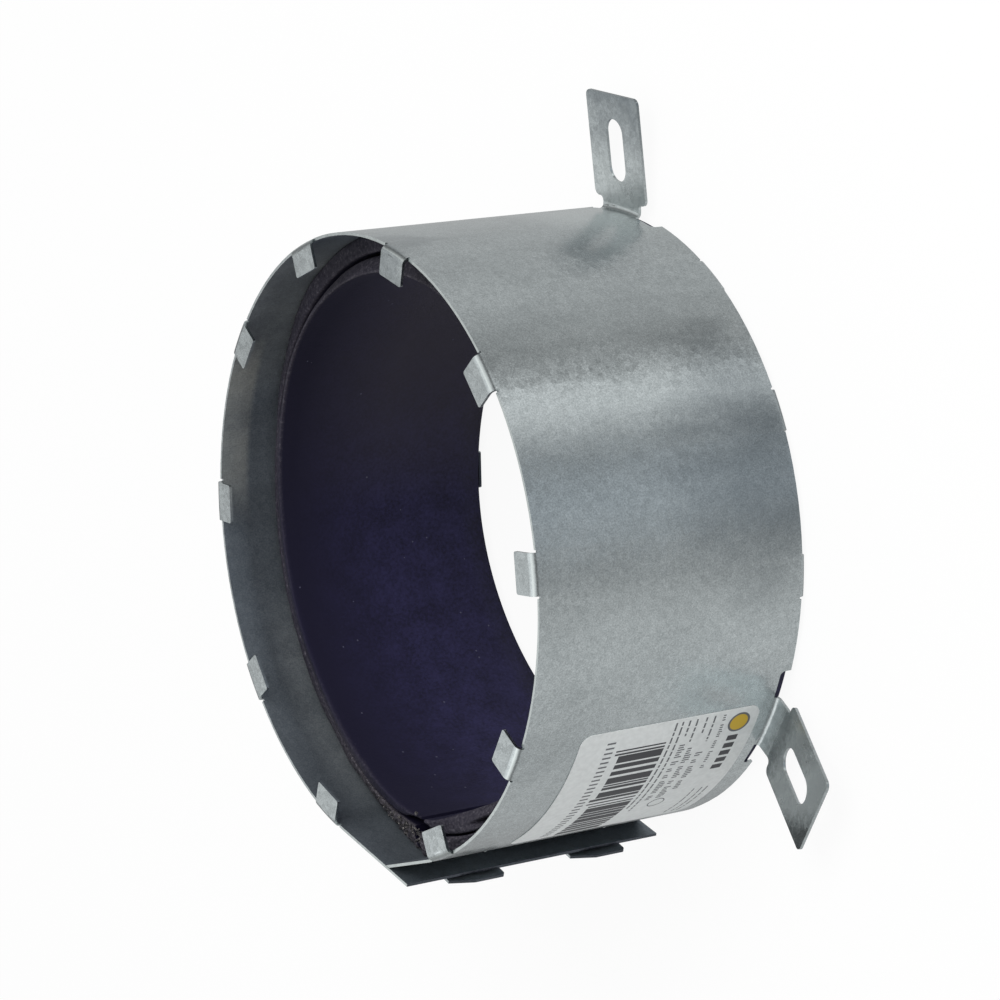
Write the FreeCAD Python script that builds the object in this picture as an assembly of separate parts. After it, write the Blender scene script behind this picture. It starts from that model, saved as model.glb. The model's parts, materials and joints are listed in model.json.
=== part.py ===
# Pipe fire collar for a plastic pipe, standing on its fixing end.
#
# A band of galvanised sheet is rolled into a ring and locked to itself at a seam, where two tongues of
# one end pass through slots in the other end and are bent back over it. Tabs along both rims are folded
# in to keep the liner inside, and three slotted lugs are folded out of the rear rim to fix the collar
# to a wall or a ceiling. The lugs are bent by hand, so each leans a little towards the front. The liner is two strips of intumescent material, one inside the other, that
# swell in a fire and squeeze the softened pipe shut. A paper label is stuck on the outside.
#
# Frame: +Z runs along the pipe from the fixing end to the front rim. The origin is on the pipe's axis,
# in the plane of the rear tabs' back faces. The first lug stands on +Y. All sizes are millimetres and degrees.

import FreeCAD, Part
import math
import os

# Pipe and liner
pipe_radius = 55.0
pipe_clearance = 1.0
inner_strip_thickness = 4.0
outer_strip_thickness = 4.0
strip_gap = 0.3
liner_to_band = 0.1
liner_setback = 9.6
liner_bevel = 20.0
liner_corner_chamfer = 1.2
inner_joint_gap = 1.4
outer_joint_gap = 2.2
inner_joint_shift = 3.0
outer_joint_shift = -3.0

# Band
sheet_thickness = 0.6
band_width = 62.0
fold_radius = 0.9

# Tabs along both rims
tab_width = 8.4
tab_reach = 6.4
tab_tip_round = 0.5
relief_depth = 0.4
relief_width = 0.5
front_tab_steps = [21.5, 56.4, 92.8, 129.1, 164.0, 198.2, 231.5, 267.4, 304.1, 338.8]
rear_tab_angles = [1.4, 31.4, 61.4, 121.4, 151.4, 183.8, 241.4, 301.4]

# Fixing lugs
lug_angles = [90.0, 211.0, 331.9]
lug_leans = [7.7, 10.0, 14.1]
lug_stems = [0.1, 0.7, 2.5]
lug_setback = 2.1
lug_lean_radius = 1.5
lug_width = 18.8
lug_length = 22.7
lug_corner_round = 1.4
neck_width = 13.3
neck_length = 1.0
neck_corner_round = 0.9
neck_window_width = 6.3
neck_window_round = 1.1
slot_width = 6.0
slot_length = 13.4
slot_to_tip = 12.0

# Lock seam
seam_angle = 276.4
seam_half_angle = 15.0
strip_overhang = 8.7
seam_clearance = 0.1
tongue_width = 13.0
tongue_spacing = 30.0
tongue_front_offset = 16.5
tongue_fold_radius = 0.7
tongue_gap = 0.15
tongue_opening = 3.5
tongue_overrun = 1.8
tongue_nose_round = 1.0
tongue_flank_length = 6.0
tongue_flank_drop = 1.6
tongue_flank_round = 2.5
tongue_slot_clearance = 0.3

# Label
label_width = 43.0
label_span = 37.0
label_angle = 318.4
label_front_offset = 13.8
label_thickness = 0.15
label_glue = 0.02
label_corner_round = 2.5

# Worked out from the sizes above
bore_radius = pipe_radius + pipe_clearance
inner_strip_outer = bore_radius + inner_strip_thickness
outer_strip_inner = inner_strip_outer + strip_gap
outer_strip_outer = outer_strip_inner + outer_strip_thickness
wall_inner = outer_strip_outer + liner_to_band
wall_outer = wall_inner + sheet_thickness
fold_outer = fold_radius + sheet_thickness
rear_edge = fold_outer - relief_depth
front_edge = rear_edge + band_width
rear_fold_start = rear_edge + relief_depth
front_fold_start = front_edge - relief_depth
tab_tip_radius = wall_outer - tab_reach
liner_rear = sheet_thickness
liner_front = front_edge - liner_setback
bevel_slope = math.tan(math.radians(liner_bevel))
lug_fold_start = lug_setback + fold_outer
lug_flat_start = wall_outer + fold_radius
# room for cutting tools to run past the sheet they cut
beyond = 3.0 * fold_outer

UP = FreeCAD.Vector(0, 0, 1)
AXIS_POINT = FreeCAD.Vector(0, 0, 0)


def direction(angle):
    """Unit vector in plan at an angle from +X."""
    turn = math.radians(angle)
    return FreeCAD.Vector(math.cos(turn), math.sin(turn), 0)


def crossing(angle_1, offset_1, angle_2, offset_2):
    """Plan point at offset_1 along the first direction and at offset_2 along the second one."""
    turn = math.radians(angle_2 - angle_1)
    along = direction(angle_1)
    across = direction(angle_1 + 90)
    side = (offset_2 - offset_1 * math.cos(turn)) / math.sin(turn)
    return along * offset_1 + across * side


def rounded_face(corners):
    """Flat face in XY from corners (x, y, radius), each with an arc of its radius at the corner."""
    edges = []
    legs = []
    count = len(corners)
    for index, (x, y, radius) in enumerate(corners):
        here = FreeCAD.Vector(x, y, 0)
        before = FreeCAD.Vector(*corners[index - 1][:2], 0)
        after = FreeCAD.Vector(*corners[(index + 1) % count][:2], 0)
        back = (before - here).normalize()
        on = (after - here).normalize()
        half = back.getAngle(on) / 2
        reach = radius / math.tan(half)
        start = here + back * reach
        end = here + on * reach
        if radius > 0:
            middle_way = (back + on).normalize()
            centre = here + middle_way * (radius / math.sin(half))
            middle = centre - middle_way * radius
            edges.append(Part.Arc(start, middle, end).toShape())
        legs.append((start, end))
    for index in range(count):
        leave = legs[index][1]
        arrive = legs[(index + 1) % count][0]
        if leave.distanceToPoint(arrive) > 1e-6:
            edges.append(Part.LineSegment(leave, arrive).toShape())
    return Part.Face(Part.Wire(Part.__sortEdges__(edges)))


def on_circle(centre, radius, angle):
    """Point of a circle in the XZ plane, at an angle seen with X right and Z up."""
    turn = math.radians(angle)
    return centre + FreeCAD.Vector(math.cos(turn), 0, math.sin(turn)) * radius


def arc_edge(centre, radius, first, last):
    """Arc in the XZ plane about a centre, from one angle to another."""
    points = [on_circle(centre, radius, angle) for angle in (first, (first + last) / 2, last)]
    return Part.Arc(*points).toShape()


def section(edges):
    """Face from edges that close on themselves."""
    return Part.Face(Part.Wire(Part.__sortEdges__(edges)))


def line(start, end):
    return Part.LineSegment(start, end).toShape()


def turned(shape, angle):
    """Copy of a shape made at +X, turned about the pipe's axis."""
    copy = shape.copy()
    copy.rotate(AXIS_POINT, UP, angle)
    return copy


def fused(shapes):
    return shapes[0].multiFuse(shapes[1:])


def turned_to(shape, angles):
    """One copy of a shape made at +X for each angle."""
    return [turned(shape, angle) for angle in angles]


def front_tab_angles():
    return [seam_angle + step for step in front_tab_steps]


def rolled_wall():
    """The band in plan: an arc with a straight run at each end, extruded over the band's width."""
    strip_side = seam_angle - seam_half_angle
    end_side = seam_angle + seam_half_angle
    strip_way = direction(strip_side + 90)
    corner_run = wall_outer * math.tan(math.radians(seam_half_angle))
    strip_run = corner_run + strip_overhang
    far_side = direction(seam_angle + 180)

    outer_strip = direction(strip_side) * wall_outer
    inner_strip = direction(strip_side) * wall_inner
    outer_end = direction(end_side) * wall_outer
    inner_end = direction(end_side) * wall_inner
    landing = wall_inner - seam_clearance
    end_outer_tip = crossing(strip_side, landing, end_side, wall_outer)
    end_inner_tip = crossing(strip_side, landing, end_side, wall_inner)
    strip_outer_tip = outer_strip + strip_way * strip_run
    strip_inner_tip = inner_strip + strip_way * strip_run

    plan = section([
        Part.Arc(outer_end, far_side * wall_outer, outer_strip).toShape(),
        line(outer_strip, strip_outer_tip),
        line(strip_outer_tip, strip_inner_tip),
        line(strip_inner_tip, inner_strip),
        Part.Arc(inner_strip, far_side * wall_inner, inner_end).toShape(),
        line(inner_end, end_inner_tip),
        line(end_inner_tip, end_outer_tip),
        line(end_outer_tip, outer_end),
    ])
    plan.translate(UP * rear_edge)
    return plan.extrude(UP * band_width)


def tab_fold_ring(fold_start, sense):
    """Ring whose section is a fold that turns a rim inward: sense is +1 at the front, -1 at the rear."""
    inner_limit = tab_tip_radius - beyond
    centre = FreeCAD.Vector(wall_outer - fold_outer, 0, fold_start)
    face = fold_start + sense * fold_outer
    back = fold_start + sense * fold_radius
    fold = section([
        arc_edge(centre, fold_outer, 0, sense * 90),
        line(FreeCAD.Vector(centre.x, 0, face), FreeCAD.Vector(inner_limit, 0, face)),
        line(FreeCAD.Vector(inner_limit, 0, face), FreeCAD.Vector(inner_limit, 0, back)),
        line(FreeCAD.Vector(inner_limit, 0, back), FreeCAD.Vector(centre.x, 0, back)),
        arc_edge(centre, fold_radius, sense * 90, 0),
        line(FreeCAD.Vector(wall_inner, 0, fold_start), FreeCAD.Vector(wall_outer, 0, fold_start)),
    ])
    return fold.revolve(AXIS_POINT, UP, 360)


def tab_outline():
    """Tab seen along the axis, at +X: straight sides and small rounds at its tip."""
    half = tab_width / 2
    outline = rounded_face([
        (tab_tip_radius, -half, tab_tip_round),
        (wall_outer + beyond, -half, 0),
        (wall_outer + beyond, half, 0),
        (tab_tip_radius, half, tab_tip_round),
    ])
    outline.translate(UP * -beyond)
    return outline.extrude(UP * (front_edge + 2 * beyond))


def tabs(fold_start, sense, angles):
    ring = tab_fold_ring(fold_start, sense)
    return ring.common(fused(turned_to(tab_outline(), angles)))


def rim_relief(fold_start, sense):
    """Cut at a tab's root, a little wider than the tab, from where its fold starts to past the rim."""
    width = tab_width + 2 * relief_width
    low = min(fold_start, fold_start + sense * beyond)
    corner = FreeCAD.Vector(wall_inner - beyond, -width / 2, low)
    return Part.makeBox(2 * beyond + sheet_thickness, width, beyond, corner)


def neck_window():
    """Rounded cut in the rear rim at a lug: it runs up to where the lug's fold starts."""
    half = neck_width / 2 + neck_window_width
    window = rounded_face([
        (-half, -beyond, 0),
        (half, -beyond, 0),
        (half, lug_fold_start, neck_window_round),
        (-half, lug_fold_start, neck_window_round),
    ])
    window.rotate(AXIS_POINT, FreeCAD.Vector(1, 1, 1), 120)
    window.translate(FreeCAD.Vector(wall_inner - beyond, 0, 0))
    return window.extrude(FreeCAD.Vector(2 * beyond + sheet_thickness, 0, 0))


def lug_fold():
    """Fold, as wide as the neck, that turns the rear rim square outward."""
    centre = FreeCAD.Vector(lug_flat_start, 0, lug_fold_start)
    back = FreeCAD.Vector(lug_flat_start, 0, lug_setback)
    ring = section([
        arc_edge(centre, fold_outer, 180, 270),
        line(back, back + UP * sheet_thickness),
        arc_edge(centre, fold_radius, 270, 180),
        line(FreeCAD.Vector(wall_outer, 0, lug_fold_start), FreeCAD.Vector(wall_inner, 0, lug_fold_start)),
    ]).revolve(AXIS_POINT, UP, 360)
    corner = FreeCAD.Vector(wall_inner - beyond, -neck_width / 2, lug_setback - beyond)
    return ring.common(Part.makeBox(2 * beyond + fold_outer, neck_width, fold_outer + 2 * beyond, corner))


def lug_stem(hinge):
    """Flat bit of neck from the round end of the fold to the line where the lug leans."""
    corner = FreeCAD.Vector(wall_outer, -neck_width / 2, lug_setback)
    stem = Part.makeBox(hinge - wall_outer, neck_width, sheet_thickness, corner)
    return stem.cut(Part.makeCylinder(lug_flat_start, sheet_thickness, UP * lug_setback, UP))


def lug_lean_bend(centre, lean):
    """Slight bend across the neck that tips the plate towards the front."""
    wide = lug_lean_radius + sheet_thickness
    bend = section([
        arc_edge(centre, wide, 270, 270 + lean),
        line(on_circle(centre, wide, 270 + lean), on_circle(centre, lug_lean_radius, 270 + lean)),
        arc_edge(centre, lug_lean_radius, 270 + lean, 270),
        line(on_circle(centre, lug_lean_radius, 270), on_circle(centre, wide, 270)),
    ])
    bend.translate(FreeCAD.Vector(0, -neck_width / 2, 0))
    return bend.extrude(FreeCAD.Vector(0, neck_width, 0))


def lug_plate():
    """Flat plate that starts at the neck, with shoulders, a slot with round ends and rounded corners."""
    half_neck = neck_width / 2
    half_lug = lug_width / 2
    tip = neck_length + lug_length
    plate = rounded_face([
        (0, -half_neck, 0),
        (neck_length, -half_neck, neck_corner_round),
        (neck_length, -half_lug, lug_corner_round),
        (tip, -half_lug, lug_corner_round),
        (tip, half_lug, lug_corner_round),
        (neck_length, half_lug, lug_corner_round),
        (neck_length, half_neck, neck_corner_round),
        (0, half_neck, 0),
    ])
    round_end = slot_width / 2
    middle = tip - slot_to_tip
    slot = rounded_face([
        (middle - slot_length / 2, -round_end, round_end),
        (middle + slot_length / 2, -round_end, round_end),
        (middle + slot_length / 2, round_end, round_end),
        (middle - slot_length / 2, round_end, round_end),
    ])
    return plate.cut(slot).Faces[0].extrude(UP * sheet_thickness)


def lug(lean, stem):
    """One fixing lug at +X, from the band's rim to its tip."""
    hinge = lug_flat_start + stem
    centre = FreeCAD.Vector(hinge, 0, lug_setback + sheet_thickness + lug_lean_radius)
    plate = lug_plate()
    plate.translate(FreeCAD.Vector(hinge, 0, lug_setback))
    plate.rotate(centre, FreeCAD.Vector(0, -1, 0), lean)
    return fused([lug_fold(), lug_stem(hinge), lug_lean_bend(centre, lean), plate])


def lugs():
    """Every lug with its own lean and stem, at its own place."""
    shapes = [lug(lean, stem) for lean, stem in zip(lug_leans, lug_stems)]
    return [turned(shape, angle) for shape, angle in zip(shapes, lug_angles)]


def tongue_fold_centre():
    """Centre, in plan, of the fold that carries a tongue round the edge of its slot."""
    strip_side = seam_angle - seam_half_angle
    end_side = seam_angle + seam_half_angle
    strip_offset = wall_outer + tongue_gap - tongue_fold_radius
    end_offset = wall_outer + tongue_fold_radius
    return crossing(strip_side, strip_offset, end_side, end_offset)


def tongue_heights():
    """Middle height of each tongue, from the front one to the rear one."""
    first = front_edge - tongue_front_offset
    return [first, first - tongue_spacing]


def strip_tip_run():
    """How far past the fold's centre the strip's tip lies, along the strip."""
    strip_side = seam_angle - seam_half_angle
    strip_way = direction(strip_side + 90)
    tip = wall_outer * math.tan(math.radians(seam_half_angle)) + strip_overhang
    return tip - tongue_fold_centre().dot(strip_way)


def tongue():
    """Plan section of a tongue: off the band's end, round the slot's edge and back along the strip."""
    strip_side = seam_angle - seam_half_angle
    end_side = seam_angle + seam_half_angle
    end_out = direction(end_side)
    strip_way = direction(strip_side + 90)
    leg_out = direction(strip_side - tongue_opening)
    leg_way = direction(strip_side - tongue_opening + 90)
    centre = tongue_fold_centre()
    tight = tongue_fold_radius
    wide = tongue_fold_radius + sheet_thickness
    root = wall_inner - beyond
    root_outer = crossing(strip_side, root, end_side, wall_outer)
    root_inner = crossing(strip_side, root, end_side, wall_inner)
    leg = leg_way * (strip_tip_run() + tongue_overrun)
    plan = section([
        line(root_outer, centre - end_out * tight),
        Part.Arc(centre - end_out * tight, centre - strip_way * tight, centre + leg_out * tight).toShape(),
        line(centre + leg_out * tight, centre + leg_out * tight + leg),
        line(centre + leg_out * tight + leg, centre + leg_out * wide + leg),
        line(centre + leg_out * wide + leg, centre + leg_out * wide),
        Part.Arc(centre + leg_out * wide, centre - strip_way * wide, centre - end_out * wide).toShape(),
        line(centre - end_out * wide, root_inner),
        line(root_inner, root_outer),
    ])
    plan.translate(UP * (-tongue_width / 2))
    return plan.extrude(UP * tongue_width)


def tongue_outline():
    """Tongue seen square to the strip: a rounded nose at the rear and a long flank at the front."""
    half = tongue_width / 2
    start = -(strip_tip_run() + 2 * beyond + wall_outer * math.tan(math.radians(seam_half_angle)))
    tip = strip_tip_run() + tongue_overrun
    outline = rounded_face([
        (start, -half, 0),
        (tip, -half, tongue_nose_round),
        (tip, half - tongue_flank_length, tongue_flank_round),
        (tip - tongue_flank_drop, half, 0),
        (start, half, 0),
    ])
    return outline


def placed_on_strip(face, height, depth):
    """Lay an outline drawn along the strip and up the axis on the strip, and give it a depth both ways."""
    strip_side = seam_angle - seam_half_angle
    face = face.copy()
    face.rotate(AXIS_POINT, FreeCAD.Vector(1, 0, 0), 90)
    face.rotate(AXIS_POINT, UP, strip_side + 90)
    strip_out = direction(strip_side)
    face.translate(tongue_fold_centre() + UP * height - strip_out * depth)
    return face.extrude(strip_out * (2 * depth))


def tongue_slot(height):
    """Slot in the strip: it starts at the fold's centre and clears the fold on its other side."""
    wide = tongue_fold_radius + sheet_thickness + tongue_slot_clearance
    half = tongue_width / 2 + tongue_slot_clearance
    opening = rounded_face([
        (-wide, -half, tongue_slot_clearance),
        (0, -half, tongue_slot_clearance),
        (0, half, tongue_slot_clearance),
        (-wide, half, tongue_slot_clearance),
    ])
    return placed_on_strip(opening, height, sheet_thickness + tongue_fold_radius)


def steel_band():
    """The whole folded sheet as one solid."""
    wall = rolled_wall()
    cuts = turned_to(rim_relief(front_fold_start, 1), front_tab_angles())
    cuts += turned_to(rim_relief(rear_fold_start, -1), rear_tab_angles)
    cuts += turned_to(neck_window(), lug_angles)
    wall = wall.cut(fused(cuts))
    wall = cut_tongue_slots(wall)
    pieces = [wall]
    pieces.append(tabs(front_fold_start, 1, front_tab_angles()))
    pieces.append(tabs(rear_fold_start, -1, rear_tab_angles))
    pieces += lugs()
    pieces += [shaped_tongue(height) for height in tongue_heights()]
    return fused(pieces).removeSplitter()


def cut_tongue_slots(wall):
    """Slots go through the strip alone: the band's other end lies above them and stays whole."""
    strip_side = seam_angle - seam_half_angle
    tool = fused([tongue_slot(height) for height in tongue_heights()])
    strip_only = Part.makeBox(
        2 * wall_outer, 2 * wall_outer, 2 * front_edge,
        FreeCAD.Vector(wall_inner - seam_clearance / 2, -wall_outer, -beyond),
    )
    return wall.cut(tool.common(turned(strip_only, strip_side)))


def shaped_tongue(height):
    body = tongue()
    body.translate(UP * height)
    return body.common(placed_on_strip(tongue_outline(), height, 2 * beyond))


def strip_ring(inner, outer, front_at_inner, joint_angle, joint_gap, chamfer):
    """One liner strip bent into a C, with a slanted front edge and a butt joint."""
    front_at_outer = front_at_inner - (outer - inner) * bevel_slope
    profile = Part.Face(Part.makePolygon([
        FreeCAD.Vector(inner, 0, liner_rear),
        FreeCAD.Vector(outer - chamfer, 0, liner_rear),
        FreeCAD.Vector(outer, 0, liner_rear + chamfer),
        FreeCAD.Vector(outer, 0, front_at_outer),
        FreeCAD.Vector(inner, 0, front_at_inner),
        FreeCAD.Vector(inner, 0, liner_rear),
    ]))
    opening = math.degrees(joint_gap / outer)
    return turned(profile.revolve(AXIS_POINT, UP, 360 - opening), joint_angle + opening / 2)


def liner_inner_strip():
    return strip_ring(
        bore_radius, inner_strip_outer, liner_front,
        seam_angle + inner_joint_shift, inner_joint_gap, strip_gap,
    )


def liner_outer_strip():
    front = liner_front - (outer_strip_inner - bore_radius) * bevel_slope
    return strip_ring(
        outer_strip_inner, outer_strip_outer, front,
        seam_angle + outer_joint_shift, outer_joint_gap, liner_corner_chamfer,
    )


def label():
    """Curved sticker: a ring as thick as the paper, cut to a rectangle with rounded corners."""
    inner = wall_outer + label_glue
    outer = inner + label_thickness
    top = front_edge - label_front_offset
    half = wall_outer * math.sin(math.radians(label_span / 2))
    ring = Part.makeCylinder(outer, label_width, UP * (top - label_width), UP)
    ring = ring.cut(Part.makeCylinder(inner, label_width, UP * (top - label_width), UP))
    outline = rounded_face([
        (-half, top - label_width, label_corner_round),
        (half, top - label_width, label_corner_round),
        (half, top, label_corner_round),
        (-half, top, label_corner_round),
    ])
    outline.rotate(AXIS_POINT, FreeCAD.Vector(1, 1, 1), 120)
    return ring.common(turned(outline.extrude(FreeCAD.Vector(outer + beyond, 0, 0)), label_angle))


def save(name, shape):
    """Write one piece and say what it is."""
    solids = shape.Solids
    piece = solids[0] if len(solids) == 1 else Part.makeCompound(solids)
    piece.exportStep(f"parts/{name}.step")
    box = piece.BoundBox
    print(
        f"{name}: {len(solids)} solid, valid {piece.isValid()}, {piece.Volume / 1000:.2f} cm3,"
        f" {box.XLength:.1f} x {box.YLength:.1f} x {box.ZLength:.1f} mm"
    )


os.makedirs("parts", exist_ok=True)
save("steel_band", steel_band())
save("liner_outer_strip", liner_outer_strip())
save("liner_inner_strip", liner_inner_strip())
save("label", label())
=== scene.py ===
# %% [markdown]
# Pipe fire collar
#
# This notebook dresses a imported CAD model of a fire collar: a band of galvanised sheet, folded into a
# ring, that holds two strips of dark swelling material round a plastic pipe. The band's shape is finished
# already, so it only needs its zinc. The strips were cut and crumbled by hand on the real object, so they
# are made again here as surfaces with rough front edges. The sticker gets its print. Each cell says what
# the real piece is, and then makes it.

import json
import math

import bpy
import numpy as np
from mathutils import Matrix, Vector


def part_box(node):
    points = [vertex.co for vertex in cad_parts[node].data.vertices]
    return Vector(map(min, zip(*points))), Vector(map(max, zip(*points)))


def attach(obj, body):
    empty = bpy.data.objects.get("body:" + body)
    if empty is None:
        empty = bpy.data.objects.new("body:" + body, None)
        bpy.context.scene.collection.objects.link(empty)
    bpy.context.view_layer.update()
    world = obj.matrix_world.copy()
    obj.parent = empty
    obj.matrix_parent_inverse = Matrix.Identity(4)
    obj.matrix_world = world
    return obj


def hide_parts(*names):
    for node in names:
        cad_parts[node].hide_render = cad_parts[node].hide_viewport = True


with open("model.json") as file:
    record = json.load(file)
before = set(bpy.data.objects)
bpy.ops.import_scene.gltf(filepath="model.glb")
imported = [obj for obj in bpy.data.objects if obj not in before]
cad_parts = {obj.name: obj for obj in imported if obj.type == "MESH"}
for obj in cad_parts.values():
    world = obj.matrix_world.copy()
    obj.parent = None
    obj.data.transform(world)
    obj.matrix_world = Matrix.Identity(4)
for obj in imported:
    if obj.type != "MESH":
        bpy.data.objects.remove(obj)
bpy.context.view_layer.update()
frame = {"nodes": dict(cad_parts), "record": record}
MM = 0.001
print("nodes:", sorted(frame["nodes"]))

# %% [markdown]
# Places on a ring are easiest to name by the angle round the pipe and the height up the pipe. The sizes
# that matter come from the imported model: the bore from its mount, and the rim and the inner strip from the
# boxes of their nodes, so none of these is fitted by eye.

# %% Sizes read from the model
record = frame["record"]
bore = next(mount for mount in record["mounts"] if mount["name"] == "pipe_bore")
BORE_RADIUS = bore["dims"]["r_mm"] * MM
inner_low, inner_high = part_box("liner_inner_strip")
band_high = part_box("steel_band")[1]
INNER_STRIP_RADIUS = (inner_high.y - inner_low.y) / 2
LINER_REAR = inner_low.z
FOLD_RISE = 1.1 * MM  # how far the folds of the tabs stand past the plain rim
FRONT_RIM = band_high.z - FOLD_RISE
STRIP_THICKNESS = INNER_STRIP_RADIUS - BORE_RADIUS
print("bore", round(BORE_RADIUS / MM, 2), "strip", round(STRIP_THICKNESS / MM, 2), "mm")

# %% [markdown]
# A colour picker shows sRGB values, but Blender mixes light in linear values. One function turns a hex
# colour into the linear one, so each finish can be written the way it is seen. Another adds a node with
# its settings and its links in one call, which keeps a material's recipe short enough to read.

# %% Helpers for colours and nodes
def linear(hex_colour):
    """sRGB hex to linear RGBA: each channel c becomes ((c + 0.055) / 1.055) ** 2.4, or c / 12.92 if small."""
    channels = [int(hex_colour[i:i + 2], 16) / 255 for i in (1, 3, 5)]
    return (*[((c + 0.055) / 1.055) ** 2.4 if c > 0.04045 else c / 12.92 for c in channels], 1.0)


def add_node(tree, kind, settings=None, **links):
    """Add a node, set its properties, and feed each named socket with a value or with another socket. The
    setting "stops" is for a colour ramp: a list of places and linear colours."""
    node = tree.nodes.new(kind)
    for name, value in (settings or {}).items():
        if name != "stops":
            setattr(node, name, value)
            continue
        elements = node.color_ramp.elements
        while len(elements) < len(value):
            elements.new(0.5)
        for element, (place, colour) in zip(elements, value):
            element.position = place
            element.color = colour
    for name, value in links.items():
        key = int(name[1:]) if name[0] == "i" and name[1:].isdigit() else name.replace("_", " ")
        socket = node.inputs[key]
        if isinstance(value, bpy.types.NodeSocket):
            tree.links.new(value, socket)
        else:
            socket.default_value = value
    return node


def new_material(name):
    """Material with its own shader tree: returns the material, the tree and the main shader."""
    material = bpy.data.materials.new(name)
    material.use_nodes = True
    tree = material.node_tree
    return material, tree, tree.nodes["Principled BSDF"]


# %% [markdown]
# The collar stands on its fixing end, and the picture was taken from in front of the rim, a little to the
# side, with the camera on its side. A long lens far away gives the same flat perspective. The camera is
# set by what a photographer would say: which way round, how high, how far, and how much it is rolled.

# %% Camera
CAMERA_TARGET = Vector((0.4, 6.5, 31.8)) * MM
CAMERA_AZIMUTH = math.radians(17.17)
CAMERA_ELEVATION = math.radians(30.92)
CAMERA_ROLL = math.radians(-98.31)
CAMERA_DISTANCE = 780 * MM
FILM_WIDTH = 36.0  # in mm, and so is the focal length, because Blender takes them so
FOCAL_LENGTH = 134.74

towards_camera = Vector((
    math.cos(CAMERA_ELEVATION) * math.cos(CAMERA_AZIMUTH),
    math.cos(CAMERA_ELEVATION) * math.sin(CAMERA_AZIMUTH),
    math.sin(CAMERA_ELEVATION),
))
level_right = Vector((0, 0, 1)).cross(towards_camera).normalized()
level_up = towards_camera.cross(level_right)
right = level_right * math.cos(CAMERA_ROLL) + level_up * math.sin(CAMERA_ROLL)
up = level_up * math.cos(CAMERA_ROLL) - level_right * math.sin(CAMERA_ROLL)

camera_data = bpy.data.cameras.new("camera")
camera_data.sensor_width = FILM_WIDTH
camera_data.lens = FOCAL_LENGTH
camera = bpy.data.objects.new("camera", camera_data)
place = Matrix((right, up, towards_camera)).transposed().to_4x4()
place.translation = CAMERA_TARGET + towards_camera * CAMERA_DISTANCE
camera.matrix_world = place
bpy.context.scene.collection.objects.link(camera)
bpy.context.scene.camera = camera
print("camera at", [round(c / MM, 1) for c in camera.location])

# %% [markdown]
# Bare metal is almost a mirror, blurred by its fine grain, so what it looks like is what stands round it.
# A photographer puts soft panels round such a ring, and each one draws a soft bright streak along the
# wall. Here the world plays those panels for reflected rays only. Below the horizon, where the upright wall
# looks, a ramp runs round the compass, with one narrow bright panel between two dark gaps. One stretch is a
# little bluer, as the sky in a window is. Above the horizon, where the tabs and lugs look, the light grows
# with height, and overhead it is brightest, which gives each fold a soft highlight. Matt surfaces get plain,
# even light, and the backdrop is white.

# %% World
world = bpy.data.worlds.new("studio")
bpy.context.scene.world = world
world.use_nodes = True
sky = world.node_tree
sky.nodes.clear()
ray = add_node(sky, "ShaderNodeLightPath")
heading = add_node(sky, "ShaderNodeTexCoord").outputs["Generated"]
compass = add_node(sky, "ShaderNodeTexGradient", {"gradient_type": "RADIAL"}, Vector=heading)
parts = add_node(sky, "ShaderNodeSeparateXYZ", Vector=heading)
height = parts.outputs["Z"]

# Compass bearing in degrees from +X towards +Y, and how bright the surroundings are there.
LOW_PANELS = (
    (-180, 0.56), (-160, 0.60), (-145, 0.42), (-125, 0.48), (-110, 0.66), (-60, 0.70), (-35, 0.84),
    (-20, 0.74), (-8, 0.60), (0, 0.46), (12, 0.62), (22, 0.66), (38, 0.44), (48, 0.62), (55, 1.10),
    (61, 1.28), (67, 0.95), (74, 0.38), (82, 0.42), (94, 0.60), (106, 0.72), (120, 0.64), (160, 0.62),
    (180, 0.56),
)
# How blue the light is at some of those bearings, from 0 to 1.
COOL_PANELS = {0: 0.2, 12: 0.7, 22: 1.0, 38: 0.75, 48: 0.2}
# How high a reflected ray points, as the upward part of its direction, and how bright it is there.
HIGH_PANELS = (
    (0.0, 0.30), (0.18, 0.31), (0.38, 0.42), (0.44, 0.74), (0.53, 0.88), (0.64, 1.08), (0.9, 1.5), (1.0, 1.5),
)


def light(level, cool=0.0):
    """Neutral daylight, a trace short of red, or bluer like the sky in a window: cool runs from 0 to 1."""
    return (level * (0.985 - 0.055 * cool), level, level * (1.003 + 0.065 * cool), 1.0)


low_stops = [
    (0.5 + bearing / 360, light(level, COOL_PANELS.get(bearing, 0.0))) for bearing, level in LOW_PANELS
]
high_stops = [(rise, light(level)) for rise, level in HIGH_PANELS]
low = add_node(sky, "ShaderNodeValToRGB", {"stops": low_stops}, i0=compass.outputs["Color"])
high = add_node(sky, "ShaderNodeValToRGB", {"stops": high_stops}, i0=height)
# The light overhead grows towards the side of the seam, so the tabs get brighter down the picture.
sideways = add_node(sky, "ShaderNodeMapRange", i0=parts.outputs["Y"], i1=-0.19, i2=-0.34, i3=0.84, i4=1.16)
high = add_node(
    sky, "ShaderNodeVectorMath", {"operation": "SCALE"}, i0=high.outputs[0], Scale=sideways.outputs[0],
)
above = add_node(sky, "ShaderNodeMapRange", i0=height, i1=-0.15, i2=0.05)
panels = add_node(
    sky, "ShaderNodeMix", {"data_type": "RGBA"}, i0=above.outputs[0], i6=low.outputs[0], i7=high.outputs[0],
)
mirrored = add_node(sky, "ShaderNodeBackground", Color=panels.outputs[2], Strength=1.0)
FILL_LEVEL = 0.62
fill = add_node(sky, "ShaderNodeBackground", Color=(1, 1, 1, 1), Strength=FILL_LEVEL)
backdrop = add_node(sky, "ShaderNodeBackground", Color=(1, 1, 1, 1), Strength=1.0)
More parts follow.
